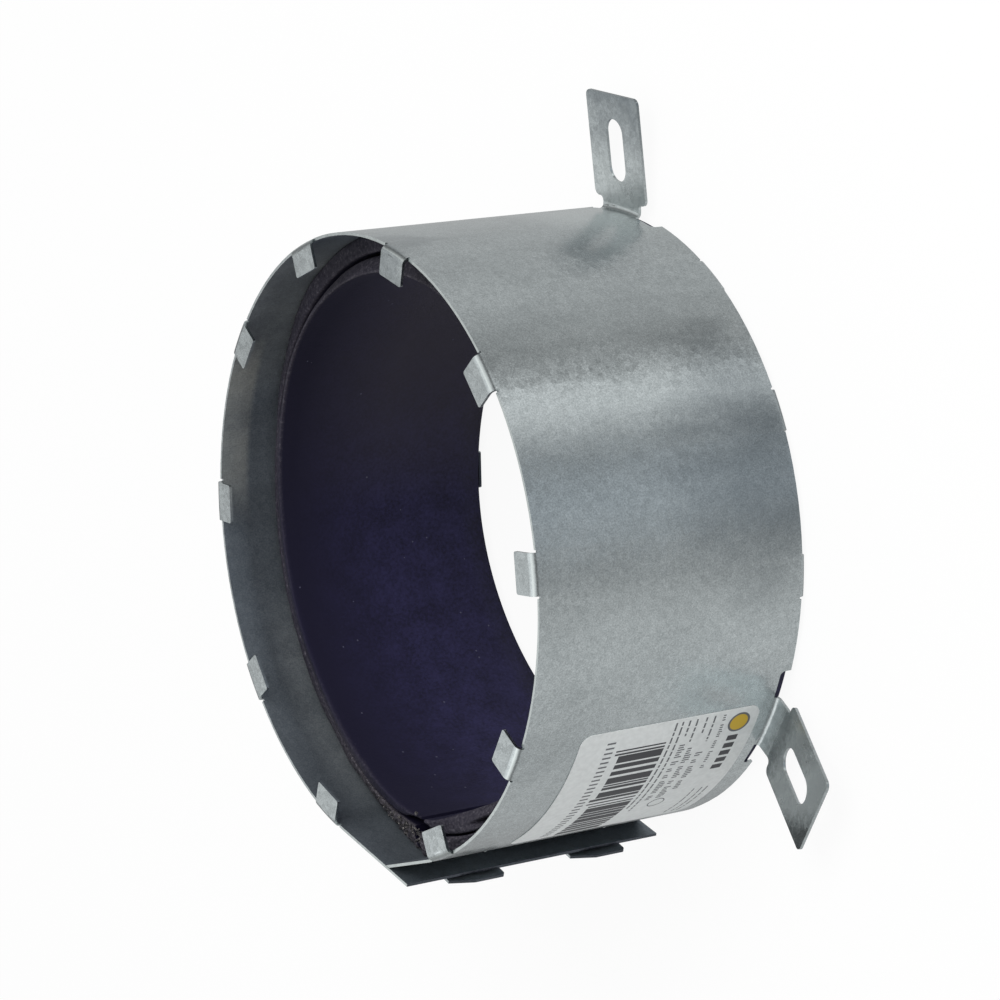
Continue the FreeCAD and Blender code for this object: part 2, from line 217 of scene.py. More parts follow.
lit = add_node(
    sky, "ShaderNodeMixShader", i0=ray.outputs["Is Glossy Ray"], i1=fill.outputs[0], i2=mirrored.outputs[0],
)
seen = add_node(
    sky, "ShaderNodeMixShader", i0=ray.outputs["Is Camera Ray"], i1=lit.outputs[0], i2=backdrop.outputs[0],
)
add_node(sky, "ShaderNodeOutputWorld", Surface=seen.outputs[0])

# %% [markdown]
# One large soft lamp gives the matt pieces their direction: it stands on the side of the first lug, so the
# sticker on the other side is in gentle shade, as in the picture. Reflected rays don't see it, because its
# image would draw a hard white line on each fold. The floor is a pale sheet that keeps a faint shadow. It is
# drawn white for the camera, and reflected rays pass it, so that the metal shows the panels below the
# horizon too.

# %% Lamp and floor
LAMP_PLACE = Vector((0.35, 0.75, 0.75))
LAMP_WIDTH = 0.9
LAMP_WATTS = 9
lamp_data = bpy.data.lights.new("soft lamp", "AREA")
lamp_data.shape = "DISK"
lamp_data.size = LAMP_WIDTH
lamp_data.energy = LAMP_WATTS
lamp = bpy.data.objects.new("soft lamp", lamp_data)
lamp.location = LAMP_PLACE
lamp.rotation_euler = (CAMERA_TARGET - LAMP_PLACE).to_track_quat("-Z", "Y").to_euler()
lamp.visible_glossy = False
bpy.context.scene.collection.objects.link(lamp)

FLOOR_HALF = 3.0
SHADOW_SHARE = 0.07  # how much of the shadow on the floor the camera sees
floor_mesh = bpy.data.meshes.new("floor")
corners = [(x * FLOOR_HALF, y * FLOOR_HALF, 0) for x, y in ((-1, -1), (1, -1), (1, 1), (-1, 1))]
floor_mesh.from_pydata(corners, [], [(0, 1, 2, 3)])
floor = bpy.data.objects.new("floor", floor_mesh)
bpy.context.scene.collection.objects.link(floor)

floor_paint, tree, shader = new_material("pale floor")
shader.inputs["Base Color"].default_value = (0.9, 0.9, 0.9, 1)
shader.inputs["Roughness"].default_value = 0.9
shader.inputs["Specular IOR Level"].default_value = 0.0
ray = add_node(tree, "ShaderNodeLightPath")
white = add_node(tree, "ShaderNodeEmission", Color=(1, 1, 1, 1), Strength=1.0)
clear = add_node(tree, "ShaderNodeBsdfTransparent")
soft = add_node(tree, "ShaderNodeMixShader", i0=SHADOW_SHARE, i1=white.outputs[0], i2=shader.outputs[0])
to_camera = add_node(
    tree, "ShaderNodeMixShader", i0=ray.outputs["Is Camera Ray"], i1=shader.outputs[0], i2=soft.outputs[0],
)
passed = add_node(
    tree, "ShaderNodeMixShader",
    i0=ray.outputs["Is Glossy Ray"], i1=to_camera.outputs[0], i2=clear.outputs[0],
)
tree.links.new(passed.outputs[0], tree.nodes["Material Output"].inputs["Surface"])
floor_mesh.materials.append(floor_paint)

# %% [markdown]
# Hot-dip galvanised sheet: steel drawn through molten zinc. The zinc freezes in small flat crystals, the
# spangle, and each lies a little askew and turns the light its own way, so the sheet looks mottled at
# about a millimetre, and sparkles beside a bright streak. Over months it dulls to a satin grey with cloudy
# patches. It is a metal, so its colour is the colour of its reflections. The crystals are Voronoi cells,
# whose random colour tilts the normal. Finer noise does the same for the grain between them. Damp stains
# and rubbed bends are kept as masks over that colour, and so are painted shade on the inside, the seam's
# flap and the rear tabs, and a painted highlight along the front rim.

# %% Galvanised sheet
zinc, tree, shader = new_material("galvanised steel, satin zinc")
where = add_node(tree, "ShaderNodeTexCoord").outputs["Object"]
SPANGLE = 1.1 * MM
GRAIN = 0.38 * MM
CLOUD = 9 * MM
spangle = add_node(tree, "ShaderNodeTexVoronoi", {"feature": "F1"}, Vector=where, Scale=1 / SPANGLE)
spangle_grey = add_node(tree, "ShaderNodeSeparateColor", i0=spangle.outputs["Color"])
grain = add_node(tree, "ShaderNodeTexNoise", Vector=where, Scale=1 / GRAIN, Detail=3.0, Roughness=0.65)
rolled_out = add_node(tree, "ShaderNodeMapping", Vector=where, Scale=(1.0, 1.0, 0.45))
cloud = add_node(
    tree, "ShaderNodeTexNoise", Vector=rolled_out.outputs[0], Scale=1 / CLOUD, Detail=5.0, Roughness=0.62,
)
mottle = add_node(
    tree, "ShaderNodeMath", {"operation": "MULTIPLY_ADD"},
    i0=spangle_grey.outputs[0], i1=0.22, i2=grain.outputs["Fac"],
)
mottle = add_node(
    tree, "ShaderNodeMath", {"operation": "MULTIPLY_ADD"},
    i0=cloud.outputs["Fac"], i1=0.8, i2=mottle.outputs[0],
)
tone = add_node(tree, "ShaderNodeMapRange", i0=mottle.outputs[0], i1=0.7, i2=1.35)
zinc_stops = [(0.0, linear("#a3a9aa")), (0.5, linear("#b3b9ba")), (1.0, linear("#c3c9ca"))]
zinc_colour = add_node(tree, "ShaderNodeValToRGB", {"stops": zinc_stops}, i0=tone.outputs[0]).outputs[0]

# Dull, darker patches, where damp has stained the zinc, and paler ones, where bending and handling have
# rubbed it: each fades with the distance from its middle. A middle in mm, how far the patch reaches in mm,
# how strong it is, and its colour.
DAMP = linear("#646c72")
RUBBED = linear("#e6edec")
STAIN_WANDER = 22 * MM  # noise moves the edge of a patch by half of this, either way
STAIN_CORE = 18 * MM
STAINS = (
    ((62, 24, 8), 28, 0.45, DAMP), ((51, 40, 10), 17, 0.28, DAMP), ((0, 99, 6), 24, 0.85, DAMP),
    ((7, 60, 62), 11, 0.32, DAMP), ((0, 63, 9), 19, 0.34, RUBBED),
)
for stain_middle, reach, strength, stain_colour in STAINS:
    away = add_node(
        tree, "ShaderNodeVectorMath", {"operation": "DISTANCE"}, i0=where, i1=[c * MM for c in stain_middle],
    )
    stain_edge = add_node(
        tree, "ShaderNodeMath", {"operation": "MULTIPLY_ADD"},
        i0=cloud.outputs["Fac"], i1=STAIN_WANDER, i2=away.outputs["Value"],
    )
    stain = add_node(
        tree, "ShaderNodeMapRange", i0=stain_edge.outputs[0],
        i1=STAIN_CORE, i2=STAIN_WANDER / 2 + reach * MM, i3=strength, i4=0.0,
    )
    zinc_colour = add_node(
        tree, "ShaderNodeMix", {"data_type": "RGBA"}, i0=stain.outputs[0], i6=zinc_colour, i7=stain_colour,
    ).outputs[2]

# The outside is handled and rubbed smooth. The inside is duller and a little less metallic, and its colour
# is painted darker and bluer, as painted shade inside the ring. Which side it is comes from whether the face
# looks away from the pipe's axis.
facing = add_node(tree, "ShaderNodeNewGeometry").outputs["Normal"]
flat_place = add_node(tree, "ShaderNodeVectorMath", {"operation": "MULTIPLY"}, i0=where, i1=(1, 1, 0))
away_from_axis = add_node(tree, "ShaderNodeVectorMath", {"operation": "NORMALIZE"}, i0=flat_place.outputs[0])
outwards = add_node(
    tree, "ShaderNodeVectorMath", {"operation": "DOT_PRODUCT"}, i0=facing, i1=away_from_axis.outputs[0],
)
inside = add_node(tree, "ShaderNodeMapRange", i0=outwards.outputs["Value"], i1=-0.6, i2=-0.9)
place = add_node(tree, "ShaderNodeSeparateXYZ", Vector=where)

# The painted shade inside is paler in three places, where the inside is also less metallic: a middle row in
# degrees, the cosine where it starts and is full, the heights in mm where it starts and is full, and how much
# paler it is.
PALER_PLACES = (
    (168, 0.93, 0.985, 56.0, 57.4, 1.0),
    (230, 0.88, 0.97, 58.0, 53.5, 0.35),
    (138, 0.90, 0.98, 45.0, 46.0, 0.5),
)
paler_inside = 0.0
for row, starts, full, low_end, high_end, share in PALER_PLACES:
    middle = (math.cos(math.radians(row)), math.sin(math.radians(row)), 0)
    near = add_node(
        tree, "ShaderNodeVectorMath", {"operation": "DOT_PRODUCT"}, i0=away_from_axis.outputs[0], i1=middle,
    )
    near = add_node(tree, "ShaderNodeMapRange", i0=near.outputs["Value"], i1=starts, i2=full, i4=share)
    tall = add_node(tree, "ShaderNodeMapRange", i0=place.outputs["Z"], i1=low_end * MM, i2=high_end * MM)
    paler_inside = add_node(
        tree, "ShaderNodeMath", {"operation": "MULTIPLY_ADD"},
        i0=near.outputs[0], i1=tall.outputs[0], i2=paler_inside,
    ).outputs[0]
paler_inside = add_node(tree, "ShaderNodeMath", {"operation": "MULTIPLY"}, i0=paler_inside, i1=cloud.outputs["Fac"])
# Painted shade: the inside is multiplied by a darker, bluer tint, which is paler in the places above.
inside_shade_tint = add_node(
    tree, "ShaderNodeMix", {"data_type": "RGBA"},
    i0=paler_inside.outputs[0], i6=linear("#cbd0da"), i7=linear("#fff8ec"),
)
painted_shade_inside = add_node(
    tree, "ShaderNodeMix", {"data_type": "RGBA", "blend_type": "MULTIPLY"},
    i0=inside.outputs[0], i6=zinc_colour, i7=inside_shade_tint.outputs[2],
)
matt_share = add_node(
    tree, "ShaderNodeMath", {"operation": "MULTIPLY_ADD"}, i0=paler_inside.outputs[0], i1=0.40, i2=0.16,
)
matt_share = add_node(
    tree, "ShaderNodeMath", {"operation": "MULTIPLY"}, i0=inside.outputs[0], i1=matt_share.outputs[0],
)
bare = add_node(tree, "ShaderNodeMath", {"operation": "SUBTRACT"}, i0=1.0, i1=matt_share.outputs[0])
tree.links.new(bare.outputs[0], shader.inputs["Metallic"])

# Painted shade makes two places nearly black: the cut edges of the seam's free flap, and the front faces of
# the rear tabs, deep inside the ring. The rest of the flap, which is all that lies past 66.4 mm on the side
# of
# -Y, is painted a little darker than the wall, as painted shade. The rear tabs' front faces are what lies
# below 1.4 mm and within 62 mm of the axis.
look = add_node(tree, "ShaderNodeSeparateXYZ", Vector=facing)
ring = add_node(tree, "ShaderNodeVectorMath", {"operation": "LENGTH"}, i0=flat_place.outputs[0])
shaded_flap = add_node(tree, "ShaderNodeMapRange", i0=place.outputs["Y"], i1=-66.2 * MM, i2=-66.6 * MM)
edge_on = add_node(tree, "ShaderNodeMapRange", i0=look.outputs["X"], i1=0.7, i2=0.85)
flap_edge_shade = add_node(
    tree, "ShaderNodeMath", {"operation": "MULTIPLY"}, i0=shaded_flap.outputs[0], i1=edge_on.outputs[0],
)
at_rear = add_node(tree, "ShaderNodeMapRange", i0=place.outputs["Z"], i1=1.6 * MM, i2=1.2 * MM)
looks_up = add_node(tree, "ShaderNodeMapRange", i0=look.outputs["Z"], i1=0.5, i2=0.8)
within = add_node(tree, "ShaderNodeMapRange", i0=ring.outputs["Value"], i1=62.5 * MM, i2=61.5 * MM)
shown = add_node(
    tree, "ShaderNodeMath", {"operation": "MAXIMUM"}, i0=looks_up.outputs[0], i1=inside.outputs[0],
)
rear_tab_shade = add_node(
    tree, "ShaderNodeMath", {"operation": "MULTIPLY"}, i0=at_rear.outputs[0], i1=shown.outputs[0],
)
rear_tab_shade = add_node(tree, "ShaderNodeMath", {"operation": "MULTIPLY"}, i0=rear_tab_shade.outputs[0], i1=within.outputs[0])
painted_shade = add_node(
    tree, "ShaderNodeMath", {"operation": "MAXIMUM"}, i0=flap_edge_shade.outputs[0], i1=rear_tab_shade.outputs[0],
)
painted_shade = add_node(
    tree, "ShaderNodeMath", {"operation": "MULTIPLY_ADD"}, i0=shaded_flap.outputs[0], i1=0.3, i2=painted_shade.outputs[0],
)
# Painted shade: the flap and the rear tabs' front faces are multiplied by a dark grey.
painted_dark_shade = add_node(
    tree, "ShaderNodeMix", {"data_type": "RGBA", "blend_type": "MULTIPLY"},
    i0=painted_shade.outputs[0], i6=painted_shade_inside.outputs[2], i7=linear("#6f7078"),
)

# The rolled wall is peppered with fine specks. A real one is finer than a tenth of a millimetre, so they
# are drawn coarse enough to show. The folded tabs and lugs look up, and are smoother.
SPECK = 0.32 * MM
fleck = add_node(tree, "ShaderNodeTexNoise", Vector=where, Scale=1 / SPECK, Detail=2.0)
pepper = add_node(tree, "ShaderNodeMapRange", i0=fleck.outputs["Fac"], i1=0.3, i2=0.7, i3=-0.16, i4=0.16)
upright = add_node(tree, "ShaderNodeMath", {"operation": "SUBTRACT"}, i0=1.0, i1=looks_up.outputs[0])
pepper = add_node(
    tree, "ShaderNodeMath", {"operation": "MULTIPLY_ADD"},
    i0=pepper.outputs[0], i1=upright.outputs[0], i2=1.0,
)
speckled = add_node(
    tree, "ShaderNodeVectorMath", {"operation": "SCALE"}, i0=painted_dark_shade.outputs[2], Scale=pepper.outputs[0],
)

# The front rim's upward faces are painted lighter, a painted highlight that draws a thin light line round
# the near side.
at_rim = add_node(
    tree, "ShaderNodeMapRange", i0=place.outputs["Z"], i1=FRONT_RIM - 0.3 * MM, i2=FRONT_RIM - 0.1 * MM,
)
without = add_node(tree, "ShaderNodeMapRange", i0=ring.outputs["Value"], i1=64.1 * MM, i2=64.3 * MM)
rim_highlight = add_node(tree, "ShaderNodeMath", {"operation": "MULTIPLY"}, i0=at_rim.outputs[0], i1=without.outputs[0])
rim_highlight = add_node(tree, "ShaderNodeMath", {"operation": "MULTIPLY"}, i0=rim_highlight.outputs[0], i1=looks_up.outputs[0])
# The painted highlight is full towards +X, on the near side, and falls to 0.15 of it on the far side.
highlight_side = add_node(tree, "ShaderNodeMapRange", i0=place.outputs["X"], i1=-30 * MM, i2=10 * MM, i3=0.15)
rim_highlight = add_node(tree, "ShaderNodeMath", {"operation": "MULTIPLY"}, i0=rim_highlight.outputs[0], i1=highlight_side.outputs[0])
painted_rim_highlight = add_node(
    tree, "ShaderNodeMix", {"data_type": "RGBA"},
    i0=rim_highlight.outputs[0], i6=speckled.outputs[0], i7=linear("#c6cccb"),
)
tree.links.new(painted_rim_highlight.outputs[2], shader.inputs["Base Color"])
dullness = add_node(tree, "ShaderNodeMapRange", i0=cloud.outputs["Fac"], i1=0.3, i2=0.7, i3=0.22, i4=0.29)
dullness = add_node(
    tree, "ShaderNodeMath", {"operation": "MULTIPLY_ADD"},
    i0=inside.outputs[0], i1=0.26, i2=dullness.outputs[0],
)
tree.links.new(dullness.outputs[0], shader.inputs["Roughness"])

# The tilt of each crystal: the cell's random colour, less its middle value, leans the normal. The grain's
# noise leans it too, and further.
CELL_LEAN = 0.036
GRAIN_LEAN = 0.10
cell_lean = add_node(
    tree, "ShaderNodeVectorMath", {"operation": "MULTIPLY_ADD"},
    i0=spangle.outputs["Color"], i1=(CELL_LEAN,) * 3, i2=(-CELL_LEAN / 2,) * 3,
)
grain_lean = add_node(
    tree, "ShaderNodeVectorMath", {"operation": "MULTIPLY_ADD"},
    i0=grain.outputs["Color"], i1=(GRAIN_LEAN,) * 3, i2=(-GRAIN_LEAN / 2,) * 3,
)
lean = add_node(
    tree, "ShaderNodeVectorMath", {"operation": "ADD"}, i0=cell_lean.outputs[0], i1=grain_lean.outputs[0],
)
leaning = add_node(tree, "ShaderNodeVectorMath", {"operation": "ADD"}, i0=facing, i1=lean.outputs[0])
straight = add_node(tree, "ShaderNodeVectorMath", {"operation": "NORMALIZE"}, i0=leaning.outputs[0])
tree.links.new(straight.outputs[0], shader.inputs["Normal"])
band = frame["nodes"]["steel_band"]
band.data.materials.clear()
band.data.materials.append(zinc)
print("band faces:", len(band.data.polygons))

# %% [markdown]
# The liner is soft and foamy, and was torn and trimmed by hand. Its front edge isn't level: it lies deeper
# along the wall than at the bore, and comes forward near the seam. To draw that, each strip is one closed
# surface: a section with four sides, carried round the pipe, whose front side is lifted by smooth noise.
# Value noise is random numbers on a lattice, joined by an easing curve. It wraps round the ring.

# %% Value noise on a ring
def lattice_noise(turns, across, columns, rows, seed):
    """Smooth noise from -1 to 1 over turns (0 to 1, wraps) and across (0 to 1): random lattice values,
    each cell blended with the weights 3 t^2 - 2 t^3 along both sides."""
    values = np.random.default_rng(seed).uniform(-1, 1, (rows + 1, columns))
    x = np.asarray(turns) * columns
    y = np.clip(across, 0, 1) * rows * 0.9999
    column = np.floor(x).astype(int)
    row = np.floor(y).astype(int)
    fx = x - column
    fy = y - row
    fx = fx * fx * (3 - 2 * fx)
    fy = fy * fy * (3 - 2 * fy)
    left = column % columns
    after = (column + 1) % columns
    low = values[row, left] * (1 - fx) + values[row, after] * fx
    high = values[row + 1, left] * (1 - fx) + values[row + 1, after] * fx
    return low * (1 - fy) + high * fy


def swell(angle, middle, width):
    """Bell curve round the ring: 1 at the middle angle and about 0.6 one width away, in degrees."""
    away = (np.asarray(angle) - middle + 180) % 360 - 180
    return np.exp(-0.5 * (away / width) ** 2)


# %% [markdown]
# How deep the liner lies below the front rim was measured round the far side of the ring, at the wall, at
# the line between the strips and at the bore. A short table holds each edge. The line between its values
# is rounded off by averaging it with shifted copies of itself. The angles are counted from +X towards the
# first lug, and the seam is at about 276 degrees. There the wall is flat: two straight runs meet in a
# blunt corner, so the wall stands further out than the circle, and the outer strip fills the room.

# %% Front edge of the liner
SEAM = 276.4
SEAM_HALF = 15.0
BEND_SHIFTS = (-6, -4, -2, 0, 2, 4, 6)
WALL_EDGE = ((60, 11.5), (115, 10.9), (136, 10.8), (152, 12.0), (166, 13.1), (180, 13.6), (207, 13.1),
             (222, 12.8), (250, 12.9), (260, 11.8), (270, 10.4), (280, 9.4), (292, 10.8), (320, 11.5))
MIDDLE_EDGE = ((60, 10.6), (115, 10.5), (131, 10.7), (150, 10.4), (175, 10.9), (207, 11.3), (230, 11.6),
               (250, 10.5), (264, 9.5), (277, 8.4), (292, 9.8), (320, 10.6))
BORE_EDGE = ((60, 8.6), (112, 7.6), (136, 7.5), (150, 8.1), (166, 9.1), (190, 9.9), (225, 10.2),
             (241, 9.6), (252, 9.0), (262, 8.0), (270, 7.8), (278, 6.9), (286, 8.2), (292, 10.4),
             (298, 13.4), (305, 13.8), (320, 10.5), (335, 9.0))


def edge_depth(table, angle):
    """Depth in mm below the front rim: straight lines between the table's values, averaged over a few
    degrees."""
    spots, depths = zip(*table)
    shifted = [np.interp((angle + shift) % 360, spots, depths, period=360) for shift in BEND_SHIFTS]
    return np.mean(shifted, axis=0)


def wall_reach(angle):
    """How far the band's inner wall stands out, as a factor of the circle: 1 over the cosine of the angle to
    the nearer end of the flat seam."""
    inside = np.clip(SEAM_HALF - np.abs((angle - SEAM + 180) % 360 - 180), 0, SEAM_HALF)
    return 1 / np.cos(np.radians(inside))


# %% [markdown]
# A strip's section is walked once round: up the outer side, across the front, down the inner side and
# back along the rear. Each stretch is a run of the same parameter, so the whole strip is one grid of
# points, angle by section, with a flat cap at each end of the butt joint. On the side away from the
# camera the strips have crept forward a little from the rear tabs, so one tab shows past them.

# %% Strip surface
ANGLE_STEPS = 1500
SIDE_STEPS = 14
FRONT_STEPS = 16
REAR_STEPS = 4
FOOT_GAP = 0.05 * MM  # room between the strips and the rear tabs
CREEP = 1.8 * MM  # how far the strips have crept forward at most
# Columns round the ring, rows across the front, and the share of each size of lump.
LUMPS = ((260, 3, 0.45), (620, 7, 0.35), (1100, 12, 0.2))
WANDER = 0.35 * MM  # how far the outer edge wanders up and down
EDGE_DROP = 0.45 * MM  # how far each corner of the front is rounded down
EDGE_BREADTH = 0.3 * MM  # and over what breadth
PULL_DEPTH = 5 * MM  # how far down the outer side a pull is felt
CRACK_PLACE = 0.31  # as a share of the front, from its outer side
CRACK_WIDTH = 0.09  # also as a share of the front


def strip_surface(
    name, inside, outside, outer_edge, inner_edge, ends, chamfer, lump, pull, crack, torn, seed,
):
    """Closed C-shaped strip. inside and outside give its two radii for an angle. outer_edge and inner_edge
    are the tables of its front edge, and ends the angles of its two ends. chamfer takes the rear outer corner
    off. For an angle, and in mm, lump is the height of the lumps on the front, pull how far the front's outer
    side draws in, and crack how deep the front is split open. torn gives the share of torn face, from 0 to 1,
    for an angle and a place across the front."""
    angle = np.linspace(ends[0], ends[1], ANGLE_STEPS)[:, None]
    turns = angle / 360
    inner, outer = inside(angle), outside(angle)
    thick = outer - inner

    side = np.linspace(0, 1, SIDE_STEPS, endpoint=False)[None, :]
    front = np.linspace(0, 1, FRONT_STEPS, endpoint=False)[None, :]
    rear = np.linspace(0, 1, REAR_STEPS, endpoint=False)[None, :]
    foot = LINER_REAR + FOOT_GAP + CREEP * swell(angle, 193, 30)
    top_outer = FRONT_RIM - edge_depth(outer_edge, angle) * MM
    top_inner = FRONT_RIM - edge_depth(inner_edge, angle) * MM

    lumps = sum(
        share * lattice_noise(turns, front, columns, rows, seed + step)
        for step, (columns, rows, share) in enumerate(LUMPS)
    )
    wander = lattice_noise(turns, 0.5, 40, 1, seed + len(LUMPS)) * WANDER
    near_edges = np.exp(-front * thick / EDGE_BREADTH) + np.exp(-(1 - front) * thick / EDGE_BREADTH)
    edge_round = EDGE_DROP * near_edges
    draw = pull(angle) * MM

    # The powers crowd the points of both sides towards the front, where the shape changes most.
    rise = side ** 0.6
    outer_z = foot + chamfer + (top_outer + wander - edge_round[:, :1] - foot - chamfer) * rise
    outer_r = outer - draw * np.exp(-(top_outer - outer_z) / PULL_DEPTH)
    front_r = (outer - draw) + (inner - outer + draw) * front
    front_z = top_outer + (top_inner - top_outer) * front + wander * (1 - front)
    front_z = front_z + lump(angle) * MM * lumps - edge_round
    front_z = front_z - crack(angle) * MM * np.exp(-((front - CRACK_PLACE) / CRACK_WIDTH) ** 2)
    fall = side ** 1.6
    inner_z = (top_inner - edge_round[:, :1]) + (foot - top_inner + edge_round[:, :1]) * fall
    inner_r = np.repeat(inner, SIDE_STEPS, 1)
    rear_r = inner + (outer - chamfer - inner) * rear
    rear_z = np.repeat(foot, REAR_STEPS, 1)

    radius = np.hstack([outer_r, front_r, inner_r, rear_r])
    height = np.hstack([outer_z, front_z, inner_z, rear_z])
    turn_angle = np.radians(angle)
    points = np.stack([radius * np.cos(turn_angle), radius * np.sin(turn_angle), height], axis=2)
    count = radius.shape[1]

    index = np.arange(ANGLE_STEPS * count).reshape(ANGLE_STEPS, count)
    here, onward = index[:-1], index[1:]
    quads = np.stack([here, onward, np.roll(onward, -1, 1), np.roll(here, -1, 1)], axis=2).reshape(-1, 4)
    faces = quads.tolist() + [index[0].tolist(), index[-1][::-1].tolist()]
    mesh = bpy.data.meshes.new(name)
    mesh.from_pydata(points.reshape(-1, 3).tolist(), [], faces)

    cut_share = np.zeros((ANGLE_STEPS, count), np.float32)
    cut_share[:, SIDE_STEPS:SIDE_STEPS + FRONT_STEPS + 1] = torn(angle, np.linspace(0, 1, FRONT_STEPS + 1))
    cut_share[-1] = 0.0
    attribute = mesh.attributes.new("cut", "FLOAT", "POINT")
    attribute.data.foreach_set("value", cut_share.ravel())
    mesh.polygons.foreach_set("use_smooth", [True] * len(quads) + [False, False])
    piece = bpy.data.objects.new(name, mesh)
    bpy.context.scene.collection.objects.link(piece)
    print(name, "faces:", len(faces))
    return piece


# %% [markdown]
# The outer strip lies against the steel and shows only its torn front. Near the seam it is ragged, with
# lumps close to a millimetre. The inner strip is trimmed more cleanly. Its end by the joint has sprung
# away from the outer strip and leaves a dark gap, and a second dark line runs between the two layers where
# they have parted. Just past the seam both are pressed thinner, and a crack has split the inner one's front.
# Angles run on past 360 along a strip, so its end lies a full turn after its start.

# %% The two liner strips
INNER_JOINT = (279.9, 638.5)
OUTER_JOINT = (275.6, 633.9)
STRIP_GAP = 0.3 * MM
WALL_INNER = 64.4 * MM
ROOM = 0.12 * MM
START_STRETCH = 460  # angles below this belong to the start of a strip, and those above to its end


def squeeze(angle, width):
    """How much the strips are pressed thinner just past the seam: 1 at 281 degrees, fading over a width."""
    return np.exp(-0.5 * (np.clip(angle - 281, 0, None) / width) ** 2) * (angle < START_STRETCH)


def bore_side(angle):
    """Inner radius of the inner strip: the bore's, and more where either end is pressed thinner."""
    at_start = 1.7 * MM * squeeze(angle, 6)
    at_end = 1.4 * MM * swell(angle, 279, 8) * (angle > START_STRETCH)
    return BORE_RADIUS + at_start + at_end


outer_strip = strip_surface(
    "intumescent_outer_layer",
    inside=lambda a: INNER_STRIP_RADIUS + STRIP_GAP + 0.9 * MM * squeeze(a, 17),
    outside=lambda a: (WALL_INNER - ROOM) * wall_reach(a),
    outer_edge=WALL_EDGE,
    inner_edge=MIDDLE_EDGE,
    ends=OUTER_JOINT,
    chamfer=1.2 * MM,
    lump=lambda a: 0.2 + 0.8 * swell(a, 267, 11) + 0.35 * swell(a, 292, 10),
    pull=lambda a: 0 * a,
    crack=lambda a: 0 * a,
    torn=lambda a, across: 0.48 + 0.52 * swell(a, 262, 18),
    seed=11,
)
inner_strip = strip_surface(
    "intumescent_inner_layer",
    inside=bore_side,
    outside=lambda a: INNER_STRIP_RADIUS + 0.9 * MM * squeeze(a, 17),
    outer_edge=MIDDLE_EDGE,
    inner_edge=BORE_EDGE,
    ends=INNER_JOINT,
    chamfer=0.3 * MM,
    lump=lambda a: 0.12 + 0.35 * swell(a, 279, 9),
    pull=lambda a: 0.2 + 0.6 * swell(a, 130, 26) + 1.9 * swell(a, 276, 4) + 0.2 * swell(a, 200, 30),
    crack=lambda a: 5.0 * swell(a, 299, 2.6),
    torn=lambda a, across: 0.55 * (1 - across * swell(a, 215, 30)) * (1 - 0.85 * swell(a, 266, 9)),
    seed=23,
)

# %% [markdown]
# Where the outer strip was torn to length, grit has broken loose and lies in the face. Each crumb is a
# squashed octahedron with its corners pushed about, so it has only eight faces. They lie thickest near the
# joint. Their heights follow the smooth edge and not its lumps, so some are sunk and some stand a little
# clear. A single larger one lies by the corner of the inner strip's end.

# %% Crumbs
CRUMB_COUNT = 150
CRUMB_START = 276.0  # where they lie thickest, and how far they spread from there, in degrees
CRUMB_SPREAD = 9
crumb_draw = np.random.default_rng(31)
crumb_angle = CRUMB_START - np.abs(crumb_draw.normal(0, CRUMB_SPREAD, CRUMB_COUNT))
across = crumb_draw.uniform(0.04, 0.96, CRUMB_COUNT)
crumb_outer = (WALL_INNER - ROOM) * wall_reach(crumb_angle)
crumb_inner = INNER_STRIP_RADIUS + STRIP_GAP
crumb_radius = crumb_outer + (crumb_inner - crumb_outer) * across
depth_at_wall = edge_depth(WALL_EDGE, crumb_angle)
depth_at_gap = edge_depth(MIDDLE_EDGE, crumb_angle)
crumb_height = FRONT_RIM - (depth_at_wall * (1 - across) + depth_at_gap * across) * MM
crumb_size = crumb_draw.uniform(0.16, 0.42, CRUMB_COUNT) * MM
crumb_angle[0] = 277.6
crumb_radius[0] = BORE_RADIUS + 0.7 * MM
crumb_height[0] = FRONT_RIM - 7.1 * MM
crumb_size[0] = 0.55 * MM

OCTAHEDRON = np.array([(1, 0, 0), (-1, 0, 0), (0, 1, 0), (0, -1, 0), (0, 0, 1), (0, 0, -1)], float)
OCTAHEDRON_FACES = np.array([
    (0, 2, 4), (2, 1, 4), (1, 3, 4), (3, 0, 4), (2, 0, 5), (1, 2, 5), (3, 1, 5), (0, 3, 5),
])
crumb_corners = OCTAHEDRON[None] * crumb_draw.uniform(0.6, 1.3, (CRUMB_COUNT, len(OCTAHEDRON), 1))
crumb_corners = crumb_corners + crumb_draw.uniform(-0.25, 0.25, crumb_corners.shape)
crumb_turn = np.radians(crumb_angle)
crumb_middle = np.stack(
    [crumb_radius * np.cos(crumb_turn), crumb_radius * np.sin(crumb_turn), crumb_height], 1,
)
crumb_points = crumb_middle[:, None] + crumb_corners * crumb_size[:, None, None]
crumb_faces = OCTAHEDRON_FACES[None] + len(OCTAHEDRON) * np.arange(CRUMB_COUNT)[:, None, None]
crumb_mesh = bpy.data.meshes.new("intumescent_crumbs")
crumb_mesh.from_pydata(crumb_points.reshape(-1, 3).tolist(), [], crumb_faces.reshape(-1, 3).tolist())
crumbs = bpy.data.objects.new("intumescent_crumbs", crumb_mesh)
bpy.context.scene.collection.objects.link(crumbs)
print("crumbs:", CRUMB_COUNT)

# %% [markdown]
# Intumescent compound: graphite and binder pressed into a sheet. Its rolled faces are smooth, nearly
# black with a blue cast, and dusted with a few pale specks. Where it is cut or torn it is dull, grey and
# full of grit. A point attribute named cut, written when the strip was made, says which is which.

